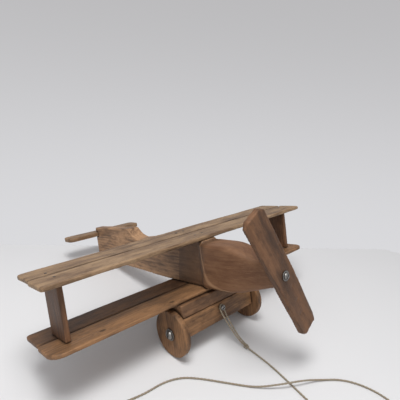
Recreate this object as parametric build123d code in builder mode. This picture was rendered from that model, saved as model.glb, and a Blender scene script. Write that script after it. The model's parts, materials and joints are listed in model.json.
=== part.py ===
"""A wooden pull-along biplane, cut from slats and carved from one thick board.

The toy stands on two front wheels and the heel of its tail, so the nose points up.
Everything is drawn in the toy's own upright frame, the "ship": X along the wings, Y
towards the tail, Z out of the wings' upper faces, with its zero under the middle of the
lower wing's front edge. The ship is then tilted to stand on the floor at Z = 0.
"""
from build123d import *
from math import asin, atan2, cos, hypot, pi, radians, sin, tan
import os

os.makedirs("parts", exist_ok=True)

# Wings, struts and tailplane, all cut from the same slats (millimetres)
slat_width = 36.0
slat_thick = 5.0
eased_edge = 0.6
plank_gap = 0.6
upper_half_span = 201.0
lower_half_span = 202.5
rear_plank_shorter = 1.5
strut_height = 58.4
strut_width = 35.5
strut_thick = 5.8
strut_outer = 182.5
strut_front = 15.0
tailplane_half_span = 67.0
tailplane_chord = 29.0
tailplane_thick = 7.0
tailplane_shift = 8.0
tailplane_bottom = 48.5
tailplane_notch = 10.0
tailplane_corner = 8.0

# Fuselage, from the propeller end to the heel of the tail
body_half = 12.0
nose_half = 16.9
tail_half = 8.0
nose_front = -97.5
saddle = 140.0
saddle_top = 54.0
tail_end = 277.0
heel_bottom = 10.0
fin_front = 168.0
fin_front_top = 67.5
fin_rear_top = 63.2

# Undercarriage
beam_front = -6.0
beam_depth = 34.0
beam_top = -15.5
beam_bottom = -40.0
beam_half = 58.3
beam_round = 3.0
spacer_setback = 1.5
spacer_half = 59.0
spacer_end_round = 2.4
wheel_radius = 27.6
wheel_thick = 8.0
wheel_edge = 1.2
axle_y = 11.0
axle_z = -33.6

# Screws, washers and pins
running_gap = 0.3
bore_clearance = 0.06
washer_thick = 0.8
axle_shank = 2.4
axle_head = 5.0
axle_washer = 7.0
axle_bite = 24.0
hub_shank = 2.1
hub_head = 3.7
hub_washer = 5.4
hub_bite = 30.0
tow_shank = 1.5
tow_head = 3.4
tow_neck = 4.2
tow_bite = 18.0
tow_z = -21.6
wood_shank = 1.7
wood_head = 3.6
wood_head_thick = 1.6
wood_bite = 14.0
wood_spacing = 6.0
pin_shank = 0.7
pin_head = 1.4
pin_head_thick = 0.5
pin_bite = 14.0
tail_pin_spacing = 4.0
slot_width = 1.1
AXLE_SLOTS = {"starboard": 82.0, "port": 25.0}
HUB_SLOT = 20.0
TOW_SLOT = 20.0

# The shape of a round screw head: its height and slot depth, and the screw's blunt tip
head_height_per_radius = 0.62
head_rounding_per_height = 0.9
slot_depth_per_height = 0.45
tip_taper_per_shank = 0.6

# Propeller
hub_z = 33.2
blade_length = 159.0
blade_width = 31.0
blade_thick = 7.5
blade_lean = 29.0
blade_corner = 5.0
blade_bevel = 6.5
blade_bevel_start = 8.0
blade_bevel_depth = 4.0
faint_bevel = 0.1
overcut = 0.2

# The twine, its knots and the coil of its spare length
twine = 2.2
above_floor = 0.1
knot_length = 9.0
knot_radius = 3.1
end_knot_length = 7.0
coil_centre = (-161.5, -125.8)
coil_outer = 13.3
coil_inner = 11.1
coil_end_angle = 134.6

# The toy stands on its wheels and its heel, and the floor is Z = 0
heel_y = tail_end - axle_y
heel_z = heel_bottom - axle_z
nose_up = atan2(heel_z, heel_y) + asin(wheel_radius / hypot(heel_y, heel_z))
ship_y = -93.4
ship_z = wheel_radius + sin(nose_up) * axle_y - cos(nose_up) * axle_z
lift = Vector(0, sin(nose_up), cos(nose_up))
aft = Vector(0, cos(nose_up), -sin(nose_up))
ship = Plane(origin=(0, ship_y, ship_z), x_dir=(1, 0, 0), z_dir=lift)

upper_wing = slat_thick + strut_height
rear_plank = slat_width + plank_gap
wing_chord = rear_plank + slat_width
SIDES = {"starboard": -1, "port": 1}


def at(x, y, z):
    """A point of the ship's frame, where it stands over the floor."""
    return ship.from_local_coords(Vector(x, y, z))


def level(z):
    """The ship's XY plane at one height: its x runs to port and its y runs aft."""
    return ship.offset(z)


def side(x):
    """A plane seen from port at one place along the wings: its x runs aft, its y up."""
    return Plane(origin=at(x, 0, 0), x_dir=aft, z_dir=(1, 0, 0))


def ahead(y):
    """A plane seen from ahead at one place along the body: its x runs to port, its y up."""
    return Plane(origin=at(0, y, 0), x_dir=(1, 0, 0), z_dir=-aft)


def finish(piece, name):
    """Label a piece and write its file."""
    piece.part.label = name
    export_step(piece.part, f"parts/{name}.step")


def facing(piece, direction):
    """The face of a piece that lies furthest in one direction."""
    return piece.faces().sort_by(Axis(ship.origin, direction))[-1]


# The carved nose, wider than the body behind it and tapered to the hub. Each station gives
# its place along the body, underside, top, half width and corner radius
nose_stations = [
    (7.0, slat_thick + 0.4, upper_wing - 4.0, body_half, 2.6),
    (-1.5, slat_thick + 0.4, upper_wing - 3.2, nose_half - 0.5, 3.0),
    (-10.0, slat_thick + 0.6, upper_wing - 2.8, nose_half, 4.2),
    (-22.0, slat_thick + 1.0, upper_wing - 2.6, nose_half, 5.0),
    (-42.0, slat_thick + 2.0, upper_wing - 3.0, nose_half, 5.6),
    (-60.0, slat_thick + 5.0, upper_wing - 7.4, nose_half - 1.3, 6.0),
    (-78.0, slat_thick + 10.4, upper_wing - 13.6, nose_half - 3.5, 6.0),
    (nose_front, hub_z - 12.0, hub_z + 12.6, nose_half - 6.3, 5.6),
]

# Where each fastener goes, in the ship's X and Y
body_pin_places = [
    (x, y)
    for x in (-wood_spacing, wood_spacing)
    for y in (slat_width / 2, rear_plank + slat_width / 2)
]
strut_places = [
    (hand * (strut_outer - strut_thick / 2), y)
    for hand in SIDES.values()
    for y in (strut_front + slat_width / 4, rear_plank + slat_width / 4)
]
leg_screw_places = [(x, axle_y) for x in (-wood_spacing, wood_spacing)]
tail_pin_places = [
    (x, tailplane_bottom + tailplane_thick / 2) for x in (-tail_pin_spacing, tail_pin_spacing)
]
wing_screw_places = [(x, rear_plank + slat_width / 2) for x in (-wood_spacing, wood_spacing)]


# The fuselage: a side profile, narrowed towards the tail, and a nose carved to the hub
with BuildPart() as fuselage:
    with BuildSketch(side(0)):
        with BuildLine():
            Polyline(
                (fin_front, fin_front_top),
                (tail_end, fin_rear_top),
                (tail_end, heel_bottom),
                (wing_chord, slat_thick),
                (0, slat_thick),
                (0, upper_wing),
                (wing_chord, upper_wing),
                (saddle, saddle_top),
            )
            Spline(
                (saddle, saddle_top),
                (fin_front, fin_front_top),
                tangents=[(1, 0.02), (0.75, 0.66)],
            )
        make_face()
    extrude(amount=body_half, both=True)
    with BuildSketch(level(0)):
        with BuildLine():
            Polyline(
                (-body_half, -1),
                (-body_half, wing_chord),
                (-tail_half, tail_end + 1),
                (tail_half, tail_end + 1),
                (body_half, wing_chord),
                (body_half, -1),
                close=True,
            )
        make_face()
    extrude(amount=fin_front_top + slat_thick, mode=Mode.INTERSECT)
    for station, low, high, half, corner in nose_stations:
        with BuildSketch(ahead(station)):
            with Locations((0, (low + high) / 2)):
                RectangleRounded(2 * half, high - low, corner)
    loft()
    with BuildSketch(side(0)):
        with Locations((tail_end, tailplane_bottom + tailplane_thick / 2)):
            Rectangle(2 * tailplane_notch, tailplane_thick)
    extrude(amount=body_half, both=True, mode=Mode.SUBTRACT)
    with BuildSketch(ahead(nose_front)):
        with Locations((0, hub_z)):
            Circle(hub_shank)
    extrude(amount=-hub_bite, mode=Mode.SUBTRACT)
    with BuildSketch(level(upper_wing)):
        with Locations(*body_pin_places):
            Circle(pin_shank)
    extrude(amount=-pin_bite, mode=Mode.SUBTRACT)
    with BuildSketch(level(slat_thick)):
        with Locations(*leg_screw_places, *wing_screw_places):
            Circle(wood_shank)
    extrude(amount=wood_bite, mode=Mode.SUBTRACT)
    with BuildSketch(ahead(tail_end - tailplane_notch)):
        with Locations(*tail_pin_places):
            Circle(pin_shank)
    extrude(amount=pin_bite, mode=Mode.SUBTRACT)
finish(fuselage, "fuselage")


def wing_plank(front_edge, bottom, half_span, corners, pins=(), screws=(), through=()):
    """One slat of a wing: rounded tips, eased edges, and the holes of its fasteners.

    Pins are sunk into its upper face, screws into its underside, and the screws of the
    undercarriage pass straight through it.
    """
    with BuildPart() as piece:
        with BuildSketch(level(bottom)) as outline:
            with Locations((0, front_edge + slat_width / 2)):
                Rectangle(2 * half_span, slat_width)
            fillet(outline.vertices().group_by(Axis.Y)[0], corners[0])
            fillet(outline.vertices().group_by(Axis.Y)[-1], corners[1])
        extrude(amount=slat_thick)
        chamfer(facing(piece, lift).edges(), eased_edge)
        chamfer(facing(piece, -lift).edges(), eased_edge)
        holes = [
            (pins, pin_shank, bottom, slat_thick),
            (pins, pin_head, bottom + slat_thick, -pin_head_thick),
            (screws, wood_shank, bottom, slat_thick),
            (screws, wood_head, bottom, wood_head_thick),
            (through, wood_shank, bottom, slat_thick),
        ]
        for places, radius, start, depth in holes:
            here = [p for p in places if 0 < p[1] - front_edge < slat_width]
            if here:
                with BuildSketch(level(start)):
                    with Locations(*here):
                        Circle(radius)
                extrude(amount=depth, mode=Mode.SUBTRACT)
    return piece


upper_pins = body_pin_places + strut_places
upper_wing_front = wing_plank(0, upper_wing, upper_half_span, (5.0, 2.5), pins=upper_pins)
finish(upper_wing_front, "upper_wing_front")
upper_wing_rear = wing_plank(
    rear_plank, upper_wing, upper_half_span - rear_plank_shorter, (3.0, 5.0), pins=upper_pins)
finish(upper_wing_rear, "upper_wing_rear")
lower_wing_front = wing_plank(
    0, 0, lower_half_span, (14.0, 4.0), screws=strut_places, through=leg_screw_places)
finish(lower_wing_front, "lower_wing_front")
lower_wing_rear = wing_plank(
    rear_plank, 0, lower_half_span - rear_plank_shorter, (6.0, 5.0),
    screws=wing_screw_places + strut_places)
finish(lower_wing_rear, "lower_wing_rear")


# The struts: one flat slat stands between the wings near each pair of tips
for side_name, hand in SIDES.items():
    with BuildPart() as strut:
        with BuildSketch(level(slat_thick)):
            with Locations((hand * (strut_outer - strut_thick / 2), strut_front + strut_width / 2)):
                Rectangle(strut_thick, strut_width)
        extrude(amount=strut_height)
        upright = strut.edges().filter_by(Axis((0, 0, 0), lift))
        fillet(upright, eased_edge)
        strut_holes = [
            (slat_thick, wood_shank, wood_bite, strut_places),
            (upper_wing, pin_shank, -pin_bite, strut_places),
        ]
        for start, radius, depth, places in strut_holes:
            with BuildSketch(level(start)):
                with Locations(*[p for p in places if p[0] * hand > 0]):
                    Circle(radius)
            extrude(amount=depth, mode=Mode.SUBTRACT)
    finish(strut, f"strut_{side_name}")


# The tailplane: a narrow slat housed in a notch across the end of the tail
with BuildPart() as tailplane:
    with BuildSketch(level(tailplane_bottom)) as tail_outline:
        with Locations((tailplane_shift, tail_end - tailplane_notch + tailplane_chord / 2)):
            Rectangle(2 * tailplane_half_span, tailplane_chord)
        fillet(tail_outline.vertices(), tailplane_corner)
    extrude(amount=tailplane_thick)
    fillet(facing(tailplane, lift).edges(), eased_edge)
    fillet(facing(tailplane, -lift).edges(), eased_edge)
    with BuildSketch(ahead(tail_end - tailplane_notch)):
        with Locations(*tail_pin_places):
            Circle(pin_shank)
    extrude(amount=-tailplane_chord, mode=Mode.SUBTRACT)
finish(tailplane, "tailplane")


# The undercarriage: a spacer under the wing, and the axle beam below it
with BuildPart() as spacer:
    with BuildSketch(level(beam_top)) as spacer_outline:
        with Locations((0, beam_front + spacer_setback + (beam_depth - 2 * spacer_setback) / 2)):
            Rectangle(2 * beam_half, beam_depth - 2 * spacer_setback)
        fillet(spacer_outline.vertices(), spacer_end_round)
    extrude(amount=-beam_top)
    with BuildSketch(level(beam_top)):
        with Locations(*leg_screw_places):
            Circle(wood_shank)
    extrude(amount=-beam_top, mode=Mode.SUBTRACT)
finish(spacer, "undercarriage_spacer")

with BuildPart() as beam:
    with BuildSketch(side(-beam_half)) as beam_outline:
        with Locations((beam_front + beam_depth / 2, (beam_top + beam_bottom) / 2)):
            Rectangle(beam_depth, beam_top - beam_bottom)
        fillet(beam_outline.vertices(), beam_round)
    extrude(amount=2 * beam_half)
    for hand in SIDES.values():
        with BuildSketch(side(hand * beam_half)):
            with Locations((axle_y, axle_z)):
                Circle(axle_shank)
        extrude(amount=-hand * axle_bite, mode=Mode.SUBTRACT)
    with BuildSketch(ahead(beam_front)):
        with Locations((0, tow_z)):
            Circle(tow_shank)
    extrude(amount=-tow_bite, mode=Mode.SUBTRACT)
    with BuildSketch(level(beam_bottom)):
        with Locations(*leg_screw_places):
            Circle(wood_shank)
    extrude(amount=beam_top - beam_bottom, mode=Mode.SUBTRACT)
    with BuildSketch(level(beam_bottom)):
        with Locations(*leg_screw_places):
            Circle(wood_head)
    extrude(amount=wood_head_thick, mode=Mode.SUBTRACT)
finish(beam, "axle_beam")


def round_head_screw(seat, head, shank, length, slot_turn):
    """A slotted round-head wood screw. Its head rests on the seat and points along its Z."""
    height = head_height_per_radius * head
    rounding = head_rounding_per_height * height
    taper = tip_taper_per_shank * shank
    outward = Axis(seat.origin, seat.z_dir)
    with BuildPart() as screw:
        with BuildSketch(seat):
            Circle(head)
        extrude(amount=height)
        fillet(screw.faces().sort_by(outward)[-1].edges(), rounding)
        with BuildSketch(seat.offset(height)):
            Rectangle(3 * head, slot_width, rotation=slot_turn)
        extrude(amount=-slot_depth_per_height * height, mode=Mode.SUBTRACT)
        with BuildSketch(seat):
            Circle(shank)
        extrude(amount=-length)
        chamfer(screw.faces().sort_by(outward)[0].edges(), taper)
    return screw


def washer_on(seat, outer, inner):
    """A flat washer that stands on its seat."""
    with BuildPart() as washer:
        with BuildSketch(seat):
            Circle(outer)
            Circle(inner, mode=Mode.SUBTRACT)
        extrude(amount=washer_thick)
        chamfer(washer.edges().group_by(Axis(seat.origin, seat.z_dir))[-1], washer_thick / 4)
    return washer


# Each wheel turns on its own screw, between two washers
hub_inner = beam_half + washer_thick + running_gap
hub_outer = hub_inner + wheel_thick
for side_name, hand in SIDES.items():
    def beside(x):
        """A plane across the axle, facing away from the beam."""
        return Plane(origin=at(hand * x, axle_y, axle_z), x_dir=aft, z_dir=(hand, 0, 0))

    with BuildPart() as wheel:
        with BuildSketch(beside(hub_inner)):
            Circle(wheel_radius)
            Circle(axle_shank + bore_clearance, mode=Mode.SUBTRACT)
        extrude(amount=wheel_thick)
        rims = wheel.edges().filter_by(GeomType.CIRCLE).sort_by(SortBy.RADIUS)[-2:]
        fillet(rims, wheel_edge)
    finish(wheel, f"wheel_{side_name}")
    inner_washer = washer_on(beside(beam_half), axle_washer, axle_shank)
    finish(inner_washer, f"inner_washer_{side_name}")
    outer_washer = washer_on(beside(hub_outer + running_gap), axle_washer, axle_shank)
    finish(outer_washer, f"outer_washer_{side_name}")
    axle_seat = hub_outer + running_gap + washer_thick
    axle_screw = round_head_screw(
        beside(axle_seat), axle_head, axle_shank, axle_seat - beam_half + axle_bite,
        AXLE_SLOTS[side_name])
    finish(axle_screw, f"axle_screw_{side_name}")


# The propeller: a flat blade with clipped ends, bevelled along opposite edges
hub_seat = nose_front - washer_thick - running_gap
blade_front = hub_seat - blade_thick
across = Vector(1, 0, 0) * cos(radians(blade_lean)) + lift * sin(radians(blade_lean))
along = lift * cos(radians(blade_lean)) - Vector(1, 0, 0) * sin(radians(blade_lean))
blade = Plane(origin=at(0, blade_front, hub_z), x_dir=across, z_dir=-aft)
with BuildPart() as propeller:
    with BuildSketch(blade) as blade_outline:
        Rectangle(blade_width, blade_length)
        chamfer(blade_outline.vertices(), blade_corner)
    extrude(amount=-blade_thick)
    for end in (1, -1):
        for reach, bevel in ((blade_bevel_start, faint_bevel), (blade_length / 2 + 1, 1)):
            station = Plane(
                origin=blade.origin + along * (end * reach), x_dir=across * -end, z_dir=along * end)
            width = bevel * blade_bevel
            depth = bevel * blade_bevel_depth
            outside = blade_width / 2 + overcut * width
            with BuildSketch(station):
                with BuildLine():
                    Polyline(
                        (blade_width / 2 - (1 + overcut) * width, overcut * depth),
                        (outside, overcut * depth),
                        (outside, -(1 + overcut) * depth),
                        close=True,
                    )
                make_face()
        loft(mode=Mode.SUBTRACT)
    with BuildSketch(blade):
        Circle(hub_shank + bore_clearance)
    extrude(amount=-blade_thick, mode=Mode.SUBTRACT)
finish(propeller, "propeller")

rear_hub_washer = washer_on(
    Plane(origin=at(0, nose_front, hub_z), x_dir=across, z_dir=-aft), hub_washer, hub_shank)
finish(rear_hub_washer, "propeller_washer_rear")
front_hub_washer = washer_on(blade.offset(running_gap), hub_washer, hub_shank)
finish(front_hub_washer, "propeller_washer_front")
hub_screw = round_head_screw(
    blade.offset(running_gap + washer_thick), hub_head, hub_shank,
    nose_front - blade_front + running_gap + washer_thick + hub_bite, HUB_SLOT)
finish(hub_screw, "propeller_screw")


# The screw in the front of the beam that holds the twine
tow_seat = Plane(origin=at(0, beam_front - tow_neck, tow_z), x_dir=(1, 0, 0), z_dir=-aft)
tow_screw = round_head_screw(tow_seat, tow_head, tow_shank, tow_neck + tow_bite, TOW_SLOT)
finish(tow_screw, "tow_screw")


def sunk_group(name, places, head_level, direction, head, head_thick, shank, length):
    """Alike fasteners in one node: each head is sunk below its surface, pointing one way."""
    with BuildPart() as group:
        with BuildSketch(level(head_level)):
            with Locations(*places):
                Circle(head)
        extrude(amount=-direction * head_thick)
        with BuildSketch(level(head_level - direction * head_thick)):
            with Locations(*places):
                Circle(shank)
        extrude(amount=-direction * (length - head_thick))
    finish(group, name)


wing_top = upper_wing + slat_thick
pin_length = slat_thick + pin_bite
sunk_group("upper_wing_pins", body_pin_places, wing_top, 1, pin_head, pin_head_thick, pin_shank, pin_length)
sunk_group("strut_pins", strut_places, wing_top, 1, pin_head, pin_head_thick, pin_shank, pin_length)
sunk_group(
    "strut_screws", strut_places, 0, -1, wood_head, wood_head_thick, wood_shank,
    slat_thick + wood_bite)
sunk_group(
    "lower_wing_screws", wing_screw_places, 0, -1, wood_head, wood_head_thick, wood_shank,
    slat_thick + wood_bite)
sunk_group(
    "undercarriage_screws", leg_screw_places, beam_bottom, -1, wood_head, wood_head_thick,
    wood_shank, slat_thick - beam_bottom + wood_bite)

with BuildPart() as tail_pins:
    with BuildSketch(ahead(tail_end - tailplane_notch + tailplane_chord)):
        with Locations(*tail_pin_places):
            Circle(pin_head)
    extrude(amount=-pin_head_thick)
    with BuildSketch(ahead(tail_end - tailplane_notch + tailplane_chord)):
        with Locations(*tail_pin_places):
            Circle(pin_shank)
    extrude(amount=tailplane_chord + pin_bite)
finish(tail_pins, "tailplane_pins")


# The twine: a loop over the neck of the tow screw, tied in a knot on the floor, and the
# pull cord that runs on from the knot. Points are on the floor's own X, Y and Z.
lying = above_floor + twine / 2
crossing = lying + 2.4 * twine
knot_centre = (11.0, -141.5, above_floor + knot_radius)
TOW_LOOP = [
    (9.6, -139.4, 4.6),
    (7.0, -134.0, 8.6),
    (3.6, -125.6, 17.6),
    (0.2, -117.0, 29.0),
    (-2.9, -109.0, 39.5),
    (-3.0, -106.4, 45.8),
    (0.0, -105.9, 47.5),
    (3.0, -106.4, 45.8),
    (2.9, -109.0, 39.5),
    (4.0, -117.6, 29.0),
    (6.4, -126.6, 17.6),
    (9.5, -135.0, 8.6),
    (11.9, -140.4, 4.6),
]
PULL_CORD = [
    (11.0, -143.5, 2.6),
    (11.6, -157.0, lying),
    (9.5, -182.0, lying),
    (3.0, -214.0, lying),
    (-4.0, -246.0, lying),
    (-3.0, -280.0, lying),
    (12.0, -310.0, lying),
    (42.0, -320.0, lying),
    (64.0, -301.0, lying),
    (67.0, -272.0, lying),
    (56.0, -245.0, lying),
    (34.0, -227.5, lying),
    (14.0, -219.0, crossing),
    (-11.0, -206.0, crossing),
    (-30.0, -188.0, lying),
    (-48.0, -165.0, lying),
    (-65.0, -143.0, lying),
    (-80.0, -128.0, lying),
    (-100.0, -121.0, lying),
    (-122.0, -121.0, lying),
    (-143.0, -117.0, lying),
    (-158.0, -113.0, lying),
]


def cord_tube(route, name):
    """A plain tube along a route: straight runs, joined by arcs as large as the runs allow."""
    radii = []
    for before, corner, after in zip(route, route[1:], route[2:]):
        run_in = Vector(corner) - Vector(before)
        run_out = Vector(after) - Vector(corner)
        half_turn = radians(run_in.get_angle(run_out)) / 2
        radii.append(0.45 * min(run_in.length, run_out.length) / tan(half_turn))
    with BuildPart() as tube:
        with BuildLine() as path:
            FilletPolyline(*route, radius=radii)
        with BuildSketch(path.line ^ 0):
            Circle(twine / 2)
        sweep()
    length = sum(edge.length for edge in path.edges())
    fullness = tube.part.volume / (pi * twine**2 / 4 * length)
    print(name, "length", round(length, 1), "volume against section x length", round(fullness, 4))
    print(name, "radii", [round(radius, 1) for radius in radii])
    finish(tube, name)


def knot(centre, length, name):
    """A knot of twine: a rounded lump that lies along Y."""
    with BuildPart() as lump:
        with BuildSketch(Plane(origin=centre, x_dir=(0, 1, 0), z_dir=(1, 0, 0))):
            Ellipse(length / 2, knot_radius)
            Rectangle(length, knot_radius, align=(Align.CENTER, Align.MIN), mode=Mode.INTERSECT)
        revolve(axis=Axis(centre, (0, 1, 0)))
    finish(lump, name)


cord_tube(TOW_LOOP, "tow_loop")
cord_tube(PULL_CORD, "pull_cord")
knot(knot_centre, knot_length, "cord_knot")

# The spare length lies in a coil of two turns side by side and two more on top of them
with BuildPart() as coil:
    with BuildSketch(Plane.XY.offset(above_floor)):
        with Locations(coil_centre):
            Circle(coil_outer + twine / 2)
            Circle(coil_inner - twine / 2, mode=Mode.SUBTRACT)
    extrude(amount=2 * twine)
finish(coil, "cord_coil")
end_angle = radians(coil_end_angle)
end_knot_centre = (
    coil_centre[0] + coil_outer * cos(end_angle),
    coil_centre[1] + coil_outer * sin(end_angle),
    above_floor + 2 * twine,
)
knot(end_knot_centre, end_knot_length, "cord_end_knot")
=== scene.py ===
"""The wooden biplane's looks: worn stained pine, dulled steel screws and a jute pull cord."""
import json
from math import cos, pi, radians, sin

import bmesh
import bpy
from mathutils import Matrix, Vector, noise


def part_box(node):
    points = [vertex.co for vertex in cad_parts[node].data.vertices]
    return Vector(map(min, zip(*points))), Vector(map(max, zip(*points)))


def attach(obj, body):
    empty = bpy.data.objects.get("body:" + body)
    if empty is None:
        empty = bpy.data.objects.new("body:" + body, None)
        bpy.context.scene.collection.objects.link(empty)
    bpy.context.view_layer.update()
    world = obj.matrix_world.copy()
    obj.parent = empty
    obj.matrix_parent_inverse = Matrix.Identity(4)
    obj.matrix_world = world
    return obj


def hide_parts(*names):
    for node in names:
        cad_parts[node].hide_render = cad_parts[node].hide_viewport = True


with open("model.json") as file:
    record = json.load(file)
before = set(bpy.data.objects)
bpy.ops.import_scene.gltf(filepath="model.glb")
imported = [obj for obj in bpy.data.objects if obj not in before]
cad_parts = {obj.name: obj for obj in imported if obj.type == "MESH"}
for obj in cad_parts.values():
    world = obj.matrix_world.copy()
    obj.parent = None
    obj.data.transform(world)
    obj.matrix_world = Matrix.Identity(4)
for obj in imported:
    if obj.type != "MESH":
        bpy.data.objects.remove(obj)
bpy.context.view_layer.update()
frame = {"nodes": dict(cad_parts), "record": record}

mm = 0.001

# The toy leans back on its heel: the wings' upper faces look along lift, the tail lies aft
nose_up = radians(15.19)
PORT = Vector((1, 0, 0))
LIFT = Vector((0, sin(nose_up), cos(nose_up)))
AFT = Vector((0, cos(nose_up), -sin(nose_up)))


# ---------------------------------------------------------------- camera
camera_place = (-0.30185, -0.36353, 0.30324)
camera_heading = -44.58
camera_down = 17.46
camera_roll = 3.72
camera_data = bpy.data.cameras.new("camera")
camera_data.lens = 33.48
camera_data.sensor_width = 36.0
camera = bpy.data.objects.new("camera", camera_data)
camera.matrix_world = (
    Matrix.Translation(camera_place)
    @ Matrix.Rotation(radians(camera_heading), 4, "Z")
    @ Matrix.Rotation(radians(90 - camera_down), 4, "X")
    @ Matrix.Rotation(radians(camera_roll), 4, "Z")
)
bpy.context.scene.collection.objects.link(camera)
bpy.context.scene.camera = camera


# ---------------------------------------------------------------- node helpers
def add(tree, kind, inputs=None, **settings):
    """Add a shader node; an input is a number, a colour or another node's output."""
    made = tree.nodes.new(kind)
    for name, value in settings.items():
        setattr(made, name, value)
    for key, value in (inputs or {}).items():
        if isinstance(value, bpy.types.NodeSocket):
            tree.links.new(value, made.inputs[key])
        else:
            made.inputs[key].default_value = value
    return made


def calc(tree, operation, first, second=0.0, third=0.0):
    """One step of arithmetic between values."""
    made = add(tree, "ShaderNodeMath", {0: first, 1: second, 2: third}, operation=operation)
    return made.outputs[0]


def span(tree, value, low, high, to_low=0.0, to_high=1.0):
    """Stretch a value smoothly from one range to another, and stop at its ends."""
    made = add(
        tree, "ShaderNodeMapRange",
        {"Value": value, "From Min": low, "From Max": high, "To Min": to_low, "To Max": to_high},
        interpolation_type="SMOOTHSTEP")
    return made.outputs[0]


def mix(tree, amount, first, second, blend="MIX"):
    """Mix two colours."""
    made = tree.nodes.new("ShaderNodeMix")
    made.data_type = "RGBA"
    made.blend_type = blend
    for key, value in ((0, amount), (6, first), (7, second)):
        if isinstance(value, bpy.types.NodeSocket):
            tree.links.new(value, made.inputs[key])
        else:
            made.inputs[key].default_value = value
    return made.outputs[2]


def speckle(tree, place, scale, detail=2.0, rough=0.5):
    """Noise from 0 to 1 at a place."""
    made = add(
        tree, "ShaderNodeTexNoise",
        {"Vector": place, "Scale": scale, "Detail": detail, "Roughness": rough})
    return made.outputs["Fac"]


def shade(colour, share):
    """A lighter or darker version of an opaque colour."""
    return [part * share for part in colour[:3]] + [1]


def started(name):
    """A new material with its shader and its tree."""
    material = bpy.data.materials.new(name)
    material.use_nodes = True
    tree = material.node_tree
    return material, tree, tree.nodes["Principled BSDF"]


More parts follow.
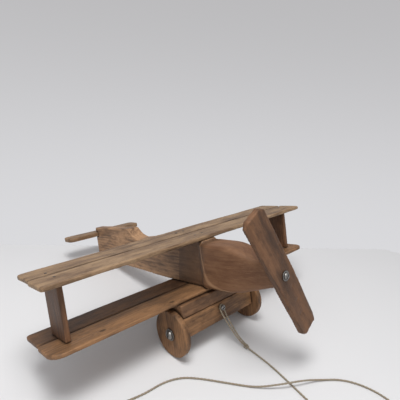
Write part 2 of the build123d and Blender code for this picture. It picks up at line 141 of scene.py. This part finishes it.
# ---------------------------------------------------------------- materials
def wood(
        name, grain, wide, seed, pale, dark, ring=3.2, pith=(60.0, 30.0), knots=(), worn=0.5,
        dark_band=None, deeper=None, crest=None, seam=None):
    """Old stained pine. Its grain runs along one direction, and its rings circle a pith that
    lies to one side of the piece, as a distance across the wide and the thin way in mm.
    It can turn to a deeper colour past one place along the grain, and be darker in a band
    between two places along it.
    A crest is a curved line drawn pale, given by the two lines it runs along and its bend, and
    a seam is the groove between two planks, with painted shade a little way to either side of it."""
    material, tree, shader = started(name)
    thin = grain.cross(wide)
    place = add(tree, "ShaderNodeTexCoord").outputs["Object"]
    along, across, through = (
        calc(tree, "MULTIPLY", add(
            tree, "ShaderNodeVectorMath", {0: place, 1: way}, operation="DOT_PRODUCT"
        ).outputs["Value"], 1 / mm)
        for way in (grain, wide, thin))

    def stretched(slow, quick):
        """Coordinates in which a pattern is drawn out along the grain."""
        lengthwise = calc(tree, "MULTIPLY_ADD", along, slow, seed * 7.31)
        sideways = calc(tree, "MULTIPLY_ADD", across, quick, seed * 3.17)
        inwards = calc(tree, "MULTIPLY_ADD", through, quick, seed * 1.93)
        return add(
            tree, "ShaderNodeCombineXYZ", {0: lengthwise, 1: sideways, 2: inwards}).outputs[0]

    # Annual rings, bent by slow waves and round each knot
    wander = speckle(tree, stretched(0.006, 0.03), 1.0, 2.0)
    wobble = speckle(tree, stretched(0.02, 0.2), 1.0, 2.0)
    off_side = calc(tree, "SUBTRACT", across, pith[0])
    off_deep = calc(tree, "SUBTRACT", through, pith[1])
    squares = calc(tree, "MULTIPLY_ADD", off_side, off_side, calc(tree, "MULTIPLY", off_deep, off_deep))
    distance = calc(tree, "SQRT", squares)
    distance = calc(tree, "MULTIPLY_ADD", wander, 16.0, distance)
    distance = calc(tree, "MULTIPLY_ADD", wobble, 2.4, distance)
    knotted = None
    for knot_along, knot_across, knot_radius in knots:
        run = calc(tree, "MULTIPLY", calc(tree, "SUBTRACT", along, knot_along), 0.62)
        rise = calc(tree, "SUBTRACT", across, knot_across)
        reach = calc(tree, "SQRT", calc(tree, "MULTIPLY_ADD", run, run, calc(tree, "MULTIPLY", rise, rise)))
        swirl = span(tree, reach, 0.0, 3.4 * knot_radius, 2.6 * knot_radius, 0.0)
        distance = calc(tree, "ADD", distance, swirl)
        core = span(tree, reach, 0.55 * knot_radius, 1.15 * knot_radius, 1.0, 0.0)
        knotted = core if knotted is None else calc(tree, "MAXIMUM", knotted, core)
    phase = calc(tree, "FRACT", calc(tree, "DIVIDE", distance, ring))
    latewood = calc(tree, "MULTIPLY", span(tree, phase, 0.25, 0.86), span(tree, phase, 0.9, 1.0, 1.0, 0.0))

    # Fibres, pores and the blotches of an old uneven stain
    fibre = speckle(tree, stretched(0.035, 1.5), 1.0, 4.0, 0.65)
    pore = span(tree, speckle(tree, stretched(0.09, 2.6), 1.0, 2.0, 0.6), 0.60, 0.74)
    blotch = speckle(tree, stretched(0.022, 0.06), 1.0, 3.0, 0.6)
    grime = span(tree, speckle(tree, stretched(0.07, 0.16), 1.0, 4.0, 0.7), 0.48, 0.68)
    streak = speckle(tree, stretched(0.012, 0.34), 1.0, 3.0, 0.6)
    colour = mix(tree, span(tree, fibre, 0.3, 0.72), dark, pale)
    colour = mix(tree, span(tree, streak, 0.38, 0.60, 0.66, 0.0), colour, shade(dark, 0.8))
    colour = mix(tree, calc(tree, "MULTIPLY", latewood, 0.55), colour, shade(dark, 0.52))
    colour = mix(tree, span(tree, blotch, 0.34, 0.66, 0.0, 0.55), colour, shade(pale, 1.28))
    colour = mix(tree, calc(tree, "MULTIPLY", pore, 0.55), colour, shade(dark, 0.40))
    colour = mix(tree, calc(tree, "MULTIPLY", grime, 0.42), colour, shade(dark, 0.50))

    if deeper is not None:
        deep_from, deep_colour = deeper
        deepened = span(tree, along, deep_from + 70, deep_from - 14, 0.0, 0.74)
        colour = mix(tree, deepened, colour, deep_colour)
    # Darker in a band between two places along the grain, slanting a little across it
    if dark_band is not None:
        leaning = calc(tree, "MULTIPLY_ADD", across, 0.2, along)
        near_side = span(tree, leaning, dark_band[0] - 7, dark_band[0] + 2)
        far_side = span(tree, leaning, dark_band[1] - 1.5, dark_band[1] + 1.5, 1.0, 0.0)
        band = calc(tree, "MULTIPLY", near_side, far_side)
        colour = mix(tree, calc(tree, "MULTIPLY", band, 0.66), colour, shade(dark, 0.62))

    # A pale line drawn along a curve that lies between two lines on the surface
    if crest is not None:
        before = calc(tree, "MAXIMUM", calc(tree, "SUBTRACT", crest[0], along), 0.0)
        above = calc(tree, "MAXIMUM", calc(tree, "SUBTRACT", across, crest[1]), 0.0)
        level = calc(tree, "SQRT", calc(tree, "MULTIPLY", before, above))
        off_crest = calc(tree, "ABSOLUTE", calc(tree, "SUBTRACT", level, crest[2]))
        near_crest = span(tree, off_crest, 0.6, 3.2, 1.0, 0.0)
        line = calc(tree, "MULTIPLY", near_crest, span(tree, blotch, 0.3, 0.6, 0.3, 0.75))
        colour = mix(tree, line, colour, shade(pale, 0.86))
    # Painted shade along the groove between two planks, darkening the colour a little way to either side of
    # it
    if seam is not None:
        off_seam = calc(tree, "ABSOLUTE", calc(tree, "SUBTRACT", across, seam))
        near_seam = span(tree, off_seam, 1.0, 4.2, 1.0, 0.0)
        groove_shade = calc(tree, "MULTIPLY", near_seam, span(tree, blotch, 0.3, 0.6, 0.95, 0.7))
        colour = mix(tree, groove_shade, colour, shade(dark, 0.35))

    # Corners and edges are rubbed pale in some places and dirty in others, and hollows and sheltered places
    # are darkened with painted shade
    sharp = add(tree, "ShaderNodeNewGeometry").outputs["Pointiness"]
    edge = span(tree, sharp, 0.515, 0.60)
    rubbed = calc(tree, "MULTIPLY", edge, span(tree, blotch, 0.36, 0.56))
    colour = mix(tree, calc(tree, "MULTIPLY", rubbed, worn), colour, shade(pale, 1.7))
    dirty = calc(tree, "MULTIPLY", edge, span(tree, blotch, 0.50, 0.36))
    colour = mix(tree, calc(tree, "MULTIPLY", dirty, 0.8), colour, shade(dark, 0.5))
    # Painted shade: hollows and creases, where the surface curves inwards, are darkened in the colour
    crease_shade = span(tree, sharp, 0.40, 0.492, 0.55, 0.0)
    colour = mix(tree, crease_shade, colour, shade(dark, 0.3))
    if knotted is not None:
        colour = mix(tree, calc(tree, "MULTIPLY", knotted, 0.85), colour, shade(dark, 0.30))
    # Painted shade: places sheltered by nearby surfaces are darkened in the colour, from an occlusion lookup
    occlusion = add(
        tree, "ShaderNodeAmbientOcclusion", {"Distance": 4.5 * mm}, samples=6).outputs["AO"]
    occlusion_shade = span(tree, occlusion, 0.30, 0.86, 0.82, 0.0)
    colour = mix(tree, occlusion_shade, colour, shade(dark, 0.28))
    tree.links.new(colour, shader.inputs["Base Color"])
    shader.inputs["Specular IOR Level"].default_value = 0.34

    gloss = calc(tree, "MULTIPLY_ADD", fibre, 0.22, span(tree, blotch, 0.3, 0.7, 0.40, 0.52))
    tree.links.new(gloss, shader.inputs["Roughness"])
    relief = calc(tree, "MULTIPLY_ADD", latewood, 0.35, calc(tree, "MULTIPLY", fibre, 0.8))
    relief = calc(tree, "SUBTRACT", relief, calc(tree, "MULTIPLY", pore, 0.5))
    bump = add(tree, "ShaderNodeBump", {"Strength": 0.55, "Distance": 0.25 * mm, "Height": relief})
    tree.links.new(bump.outputs[0], shader.inputs["Normal"])
    return material


def steel(name, tone, rust):
    """Dull plated steel, scratched by a screwdriver and rusty in patches."""
    material, tree, shader = started(name)
    occlusion = add(
        tree, "ShaderNodeAmbientOcclusion", {"Distance": 1.6 * mm}, samples=6).outputs["AO"]
    place = add(tree, "ShaderNodeTexCoord").outputs["Object"]
    patch = span(tree, speckle(tree, place, 420.0, 4.0, 0.65), 0.60 - 0.2 * rust, 0.74)
    scratch = span(tree, speckle(tree, place, 2600.0, 2.0, 0.6), 0.45, 0.7)
    bare = mix(tree, scratch, [tone * 0.72, tone * 0.70, tone * 0.66, 1], [tone, tone * 0.98, tone * 0.94, 1])
    colour = mix(tree, patch, bare, (0.075, 0.034, 0.017, 1))
    # Painted shade: places sheltered by nearby surfaces are darkened almost to black in the colour
    colour = mix(tree, span(tree, occlusion, 0.35, 0.9, 0.9, 0.0), colour, (0.02, 0.014, 0.01, 1))
    tree.links.new(colour, shader.inputs["Base Color"])
    metallic = calc(tree, "SUBTRACT", 1.0, calc(tree, "MULTIPLY", patch, 0.85))
    tree.links.new(metallic, shader.inputs["Metallic"])
    rough = calc(tree, "MULTIPLY_ADD", scratch, 0.16, span(tree, patch, 0.0, 1.0, 0.34, 0.75))
    tree.links.new(rough, shader.inputs["Roughness"])
    bump = add(tree, "ShaderNodeBump", {"Strength": 0.4, "Distance": 0.08 * mm, "Height": scratch})
    tree.links.new(bump.outputs[0], shader.inputs["Normal"])
    return material


def jute(name):
    """Natural twine: pale fibres with darker ones between them, and painted shade in the groove between its
    plies.
    """
    material, tree, shader = started(name)
    place = add(tree, "ShaderNodeTexCoord").outputs["Object"]
    fibre = speckle(tree, place, 1900.0, 4.0, 0.7)
    patch = speckle(tree, place, 60.0, 2.0)
    colour = mix(tree, span(tree, fibre, 0.32, 0.66), (0.13, 0.10, 0.07, 1), (0.42, 0.36, 0.275, 1))
    colour = mix(tree, span(tree, patch, 0.35, 0.65, 0.0, 0.35), colour, (0.30, 0.235, 0.155, 1))
    # Painted shade in the groove between the two plies, where the surface curves inwards
    ply_groove_shade = span(tree, add(tree, "ShaderNodeNewGeometry").outputs["Pointiness"], 0.42, 0.50, 0.75, 0.0)
    colour = mix(tree, ply_groove_shade, colour, (0.07, 0.05, 0.03, 1))
    tree.links.new(colour, shader.inputs["Base Color"])
    shader.inputs["Roughness"].default_value = 0.92
    shader.inputs["Specular IOR Level"].default_value = 0.2
    bump = add(tree, "ShaderNodeBump", {"Strength": 0.7, "Distance": 0.15 * mm, "Height": fibre})
    tree.links.new(bump.outputs[0], shader.inputs["Normal"])
    return material


# ---------------------------------------------------------------- the twine
TWINE = 2.2
LYING = 1.2
CROSSING = LYING + 2.4 * TWINE
TOW_LOOP = [
    (9.6, -139.4, 4.6),
    (7.0, -134.0, 8.6),
    (3.6, -125.6, 17.6),
    (0.2, -117.0, 29.0),
    (-2.9, -109.0, 39.5),
    (-3.0, -106.4, 45.8),
    (0.0, -105.9, 47.5),
    (3.0, -106.4, 45.8),
    (2.9, -109.0, 39.5),
    (4.0, -117.6, 29.0),
    (6.4, -126.6, 17.6),
    (9.5, -135.0, 8.6),
    (11.9, -140.4, 4.6),
]
PULL_CORD = [
    (11.0, -143.5, 2.6),
    (11.6, -157.0, LYING),
    (9.5, -182.0, LYING),
    (3.0, -214.0, LYING),
    (-4.0, -246.0, LYING),
    (-3.0, -280.0, LYING),
    (12.0, -310.0, LYING),
    (42.0, -320.0, LYING),
    (64.0, -301.0, LYING),
    (67.0, -272.0, LYING),
    (56.0, -245.0, LYING),
    (34.0, -227.5, LYING),
    (14.0, -219.0, CROSSING),
    (-11.0, -206.0, CROSSING),
    (-30.0, -188.0, LYING),
    (-48.0, -165.0, LYING),
    (-65.0, -143.0, LYING),
    (-80.0, -128.0, LYING),
    (-100.0, -121.0, LYING),
    (-122.0, -121.0, LYING),
    (-143.0, -117.0, LYING),
    (-158.0, -113.0, LYING),
]
COIL_CENTRE = (-161.5, -125.8)
COIL_OUTER = 13.3
COIL_INNER = 11.1
COIL_START = radians(74.6)
COIL_STEPS = 12
COIL_TURNS = 4 + 1 / 6


def ramp(value):
    """Keep a value between 0 and 1."""
    return min(max(value, 0.0), 1.0)


def coil_points():
    """The spare length: two turns side by side on the floor and two more on top of them."""
    points = []
    for step in range(1, round(COIL_TURNS * COIL_STEPS) + 1):
        turn = step / COIL_STEPS
        inward = ramp((turn - 0.9) / 0.25) - ramp((turn - 2.9) / 0.25)
        radius = (COIL_OUTER - inward * (COIL_OUTER - COIL_INNER)) / cos(pi / COIL_STEPS)
        height = LYING + TWINE * ramp((turn - 1.9) / 0.25)
        angle = COIL_START + 2 * pi * turn
        points.append((
            COIL_CENTRE[0] + radius * cos(angle), COIL_CENTRE[1] + radius * sin(angle), height))
    return points


def smooth_line(route, name, spacing=0.7):
    """Points along the smooth spline that a route's points control, in metres."""
    curve = bpy.data.curves.new(name, "CURVE")
    curve.dimensions = "3D"
    curve.resolution_u = 14
    spline = curve.splines.new("NURBS")
    spline.points.add(len(route) - 1)
    for point, place in zip(spline.points, route):
        point.co = (*(Vector(place) * mm), 1)
    spline.order_u = 3
    spline.use_endpoint_u = True
    holder = bpy.data.objects.new(name, curve)
    mesh = bpy.data.meshes.new_from_object(holder)
    dense = [vertex.co.copy() for vertex in mesh.vertices]
    bpy.data.objects.remove(holder)
    bpy.data.meshes.remove(mesh)
    even, carried = [dense[0]], 0.0
    for before, after in zip(dense, dense[1:]):
        step = (after - before).length
        while carried + step >= spacing * mm:
            share = (spacing * mm - carried) / step
            before = before.lerp(after, share)
            even.append(before.copy())
            step = (after - before).length
            carried = 0.0
        carried += step
    return even


def twisted(line, name, material, width=TWINE, lay=7.5, sides=12):
    """Two-ply twine along a line: a section of two lobes that turns as it goes."""
    fray_share, frays_per_metre, fray_seed = 0.07, 900, 3.7
    waist = 0.40
    made = bmesh.new()
    forward = (line[1] - line[0]).normalized()
    normal = forward.orthogonal().normalized()
    rings, travelled = [], 0.0
    for index, centre in enumerate(line):
        ahead = line[min(index + 1, len(line) - 1)]
        behind = line[max(index - 1, 0)]
        turned = (ahead - behind).normalized()
        normal = forward.rotation_difference(turned) @ normal
        forward = turned
        binormal = forward.cross(normal)
        travelled += (centre - behind).length if index else 0.0
        twist = 2 * pi * travelled / (lay * mm)
        place = Vector((travelled * frays_per_metre, fray_seed, len(line)))
        fray = 1 + fray_share * noise.noise(place)
        ring = []
        for side in range(sides):
            angle = 2 * pi * side / sides
            lobe = (waist + (1 - waist) * cos(angle - twist) ** 2) ** 0.5
            reach = width * mm / 2 * lobe * fray
            ring.append(made.verts.new(centre + (normal * cos(angle) + binormal * sin(angle)) * reach))
        rings.append(ring)
    for near, far in zip(rings, rings[1:]):
        for side in range(sides):
            following = (side + 1) % sides
            made.faces.new((near[side], near[following], far[following], far[side]))
    made.faces.new(list(reversed(rings[0])))
    made.faces.new(rings[-1])
    bmesh.ops.recalc_face_normals(made, faces=made.faces)
    mesh = bpy.data.meshes.new(name)
    made.to_mesh(mesh)
    made.free()
    mesh.polygons.foreach_set("use_smooth", [True] * len(mesh.polygons))
    mesh.materials.append(material)
    piece = bpy.data.objects.new(name, mesh)
    bpy.context.scene.collection.objects.link(piece)
    return piece


def wound_knot(node, name, material):
    """An overhand knot: the twine wound close round itself, as large as its node."""
    low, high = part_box(node)
    centre = (low + high) / 2 / mm
    reach = (high - low) / 2 / mm
    turns = 2.25
    steps = 26
    narrow_end = 0.62
    route = []
    for step in range(steps + 1):
        share = step / steps
        angle = 2 * pi * turns * share
        bulge = narrow_end + (1 - narrow_end) * sin(pi * share)
        route.append((
            centre.x + (reach.x - TWINE / 2) * bulge * cos(angle),
            centre.y + (reach.y - TWINE / 2) * (2 * share - 1),
            centre.z + (reach.z - TWINE / 2) * bulge * sin(angle)))
    piece = twisted(smooth_line(route, name + "_line", 0.5), name, material)
    core = twisted(
        smooth_line([
            (centre.x, centre.y - reach.y * 0.9, centre.z),
            (centre.x + 0.5, centre.y, centre.z + 0.4),
            (centre.x, centre.y + reach.y * 0.9, centre.z)], name + "_core_line", 0.5),
        name + "_core", material)
    core.parent = piece
    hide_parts(node)
    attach(piece, "airframe")
    return piece


twine_material = jute("jute_twine")
knot = wound_knot("cord_knot", "twine_knot", twine_material)
end_knot = wound_knot("cord_end_knot", "twine_end_knot", twine_material)

loop_line = smooth_line(TOW_LOOP, "tow_loop_line")
loop = twisted(loop_line, "twine_loop", twine_material)
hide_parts("tow_loop")
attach(loop, "airframe")

cord_line = smooth_line(PULL_CORD + coil_points(), "pull_cord_line")
cord = twisted(cord_line, "twine_pull_cord", twine_material)
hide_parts("pull_cord", "cord_coil")
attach(cord, "airframe")


# ---------------------------------------------------------------- the wooden pieces
def worn_copy(node, material, body="airframe", voxel=1.2, passes=3, swell=0.35, seed=0.0):
    """A piece cut by hand and rubbed round by years of play: it stands for its CAD node."""
    source = frame["nodes"][node]
    mesh = source.data.copy()
    rough = bpy.data.objects.new(node + "_rough", mesh)
    bpy.context.scene.collection.objects.link(rough)
    remesh = rough.modifiers.new("remesh", "REMESH")
    remesh.mode = "VOXEL"
    remesh.voxel_size = voxel * mm
    soften = rough.modifiers.new("soften", "SMOOTH")
    soften.factor = 0.5
    soften.iterations = passes
    solid = bpy.data.meshes.new_from_object(rough.evaluated_get(bpy.context.evaluated_depsgraph_get()))
    bpy.data.objects.remove(rough)
    solid.name = "worn_" + node
    waves_per_metre, dents_per_metre = 28, 150
    mean_wave, dent_from, dent_depth = 0.45, 0.35, 0.9
    shift = Vector((seed, seed * 0.7, -seed))
    normals = [normal.vector.copy() for normal in solid.vertex_normals]
    moved = []
    for vertex, normal in zip(solid.vertices, normals):
        wave = noise.noise(vertex.co * waves_per_metre + shift)
        dent = max(0.0, noise.noise(vertex.co * dents_per_metre + shift) - dent_from)
        moved.extend(vertex.co + normal * mm * (swell * (wave - mean_wave) - dent_depth * dent))
    solid.vertices.foreach_set("co", moved)
    solid.update()
    solid.polygons.foreach_set("use_smooth", [True] * len(solid.polygons))
    solid.materials.clear()
    solid.materials.append(material)
    piece = bpy.data.objects.new("worn_" + node, solid)
    bpy.context.scene.collection.objects.link(piece)
    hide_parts(node)
    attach(piece, body)
    return piece


def tone(red, green, blue):
    """A colour's linear red, green and blue shares, fully opaque."""
    return (red, green, blue, 1)


TAN = tone(0.315, 0.200, 0.114)
BROWN = tone(0.150, 0.080, 0.040)
ORANGE = tone(0.285, 0.148, 0.066)
WARM = tone(0.215, 0.112, 0.054)
RED_BROWN = tone(0.190, 0.092, 0.044)
DARK = tone(0.078, 0.039, 0.021)
TAWNY = tone(0.47, 0.275, 0.148)
UMBER = tone(0.135, 0.073, 0.039)
OLIVE_TAN = tone(0.345, 0.232, 0.135)
NOSE = tone(0.118, 0.047, 0.020)

# Where the gap between two planks lies, as a distance aft
SEAM = -70.4
wing_wood = {
    "upper_wing_front": wood(
        "pine_upper_front", PORT, AFT, 1.0, OLIVE_TAN, BROWN, 3.4, (80, 36), seam=SEAM),
    "upper_wing_rear": wood(
        "pine_upper_rear", PORT, AFT, 2.0, OLIVE_TAN, BROWN, 2.8, (-40, 20), seam=SEAM),
    "lower_wing_front": wood(
        "pine_lower_front", PORT, AFT, 3.0, ORANGE, BROWN, 4.0, (20, -30),
        knots=((-147, -96, 2.6), (-63, -101, 2.4), (110, -80, 3.0)), seam=SEAM),
    "lower_wing_rear": wood("pine_lower_rear", PORT, AFT, 4.0, WARM, DARK, 3.0, (60, 44), seam=SEAM),
}
for number, (node, material) in enumerate(wing_wood.items()):
    worn_copy(node, material, seed=3.0 * number + 1)

body_wood = wood(
    "pine_body", AFT, LIFT, 5.0, TAWNY, UMBER, 4.2, (-30, 60), knots=((40, 20, 3.2),),
    deeper=(-116, NOSE), dark_band=(-92, -44), crest=(-104, 42, 10))
worn_copy("fuselage", body_wood, voxel=1.4, passes=4, swell=0.5, seed=21)
tail_wood = wood("pine_tail", PORT, AFT, 6.0, TAN, BROWN, 2.6, (40, 20))
worn_copy("tailplane", tail_wood, voxel=1.0, passes=4, seed=31)
for side in ("starboard", "port"):
    strut_wood = wood(
        f"pine_strut_{side}", LIFT, AFT, 7.0 if side == "port" else 8.0, RED_BROWN, DARK, 2.8, (50, 30))
    worn_copy(f"strut_{side}", strut_wood, voxel=1.0, seed=41 if side == "port" else 43)
    wheel_wood = wood(
        f"pine_wheel_{side}", LIFT, AFT, 9.0 if side == "port" else 10.0, ORANGE, DARK, 3.6, (45, 30))
    worn_copy(
        f"wheel_{side}", wheel_wood, f"wheel_{side}", voxel=0.9, passes=4,
        seed=51 if side == "port" else 53)
beam_wood = wood("pine_beam", PORT, AFT, 11.0, ORANGE, DARK, 3.4, (30, 60))
worn_copy("axle_beam", beam_wood, voxel=1.1, seed=61)
spacer_wood = wood("pine_spacer", PORT, AFT, 12.0, WARM, DARK, 3.0, (30, 40))
worn_copy("undercarriage_spacer", spacer_wood, voxel=1.1, seed=67)
lean = radians(29)
blade_way = LIFT * cos(lean) - PORT * sin(lean)
blade_across = PORT * cos(lean) + LIFT * sin(lean)
blade_wood = wood("pine_propeller", blade_way, blade_across, 13.0, RED_BROWN, DARK, 3.2, (50, 20))
worn_copy("propeller", blade_wood, "propeller", voxel=1.0, passes=3, seed=71)


# ---------------------------------------------------------------- the steel
screw_steel = steel("screw_steel", 0.36, 0.35)
washer_steel = steel("washer_steel", 0.30, 0.5)
pin_steel = steel("pin_steel", 0.16, 0.8)
for subpart in frame["record"]["subparts"]:
    finish = {"screw_steel": screw_steel, "washer_steel": washer_steel, "pin_steel": pin_steel}.get(
        subpart["material_slot"])
    if finish:
        for slot in frame["nodes"][subpart["node"]].material_slots:
            slot.material = finish


# ---------------------------------------------------------------- floor and light
def stage_material():
    """Plain matt white board."""
    material, tree, shader = started("pale_floor")
    place = add(tree, "ShaderNodeTexCoord").outputs["Object"]
    shade = speckle(tree, place, 3.0, 2.0)
    colour = mix(tree, shade, (0.70, 0.70, 0.71, 1), (0.74, 0.74, 0.74, 1))
    tree.links.new(colour, shader.inputs["Base Color"])
    shader.inputs["Roughness"].default_value = 0.7
    shader.inputs["Specular IOR Level"].default_value = 0.2
    return material


def floor_board():
    """The floor reaches a little way behind the toy and far in front of it."""
    mesh = bpy.data.meshes.new("floor")
    corners = [(-2.2, 1.92, 0), (0.47, -0.13, 0), (0.80, -1.9, 0), (-3.0, -3.0, 0)]
    mesh.from_pydata(corners, [], [range(len(corners))])
    mesh.materials.append(stage_material())
    floor = bpy.data.objects.new("floor", mesh)
    bpy.context.scene.collection.objects.link(floor)


floor_board()


def area_light(name, place, aim, size, power):
    """A soft square light."""
    light = bpy.data.lights.new(name, "AREA")
    light.shape = "SQUARE"
    light.size = size
    light.energy = power
    lamp = bpy.data.objects.new(name, light)
    lamp.matrix_world = (
        Matrix.Translation(place)
        @ (Vector(aim) - Vector(place)).to_track_quat("-Z", "Y").to_matrix().to_4x4())
    bpy.context.scene.collection.objects.link(lamp)


area_light("overhead", (-0.27, -0.27, 1.05), (0, 0, 0), 0.42, 8.2)
area_light("front_fill", (-0.9, -0.9, 0.9), (0, 0, 0.05), 0.8, 2.2)

world = bpy.data.worlds.new("studio")
bpy.context.scene.world = world
world.use_nodes = True
sky = world.node_tree
direction = add(sky, "ShaderNodeTexCoord").outputs["Generated"]
height = add(sky, "ShaderNodeSeparateXYZ", {0: direction}).outputs["Z"]
wall = mix(sky, span(sky, height, -0.42, 0.30), (0.70, 0.70, 0.72, 1), (0.49, 0.485, 0.495, 1))
sky.links.new(wall, sky.nodes["Background"].inputs["Color"])
sky.nodes["Background"].inputs["Strength"].default_value = 1.0
bpy.context.scene.view_settings.view_transform = "Standard"
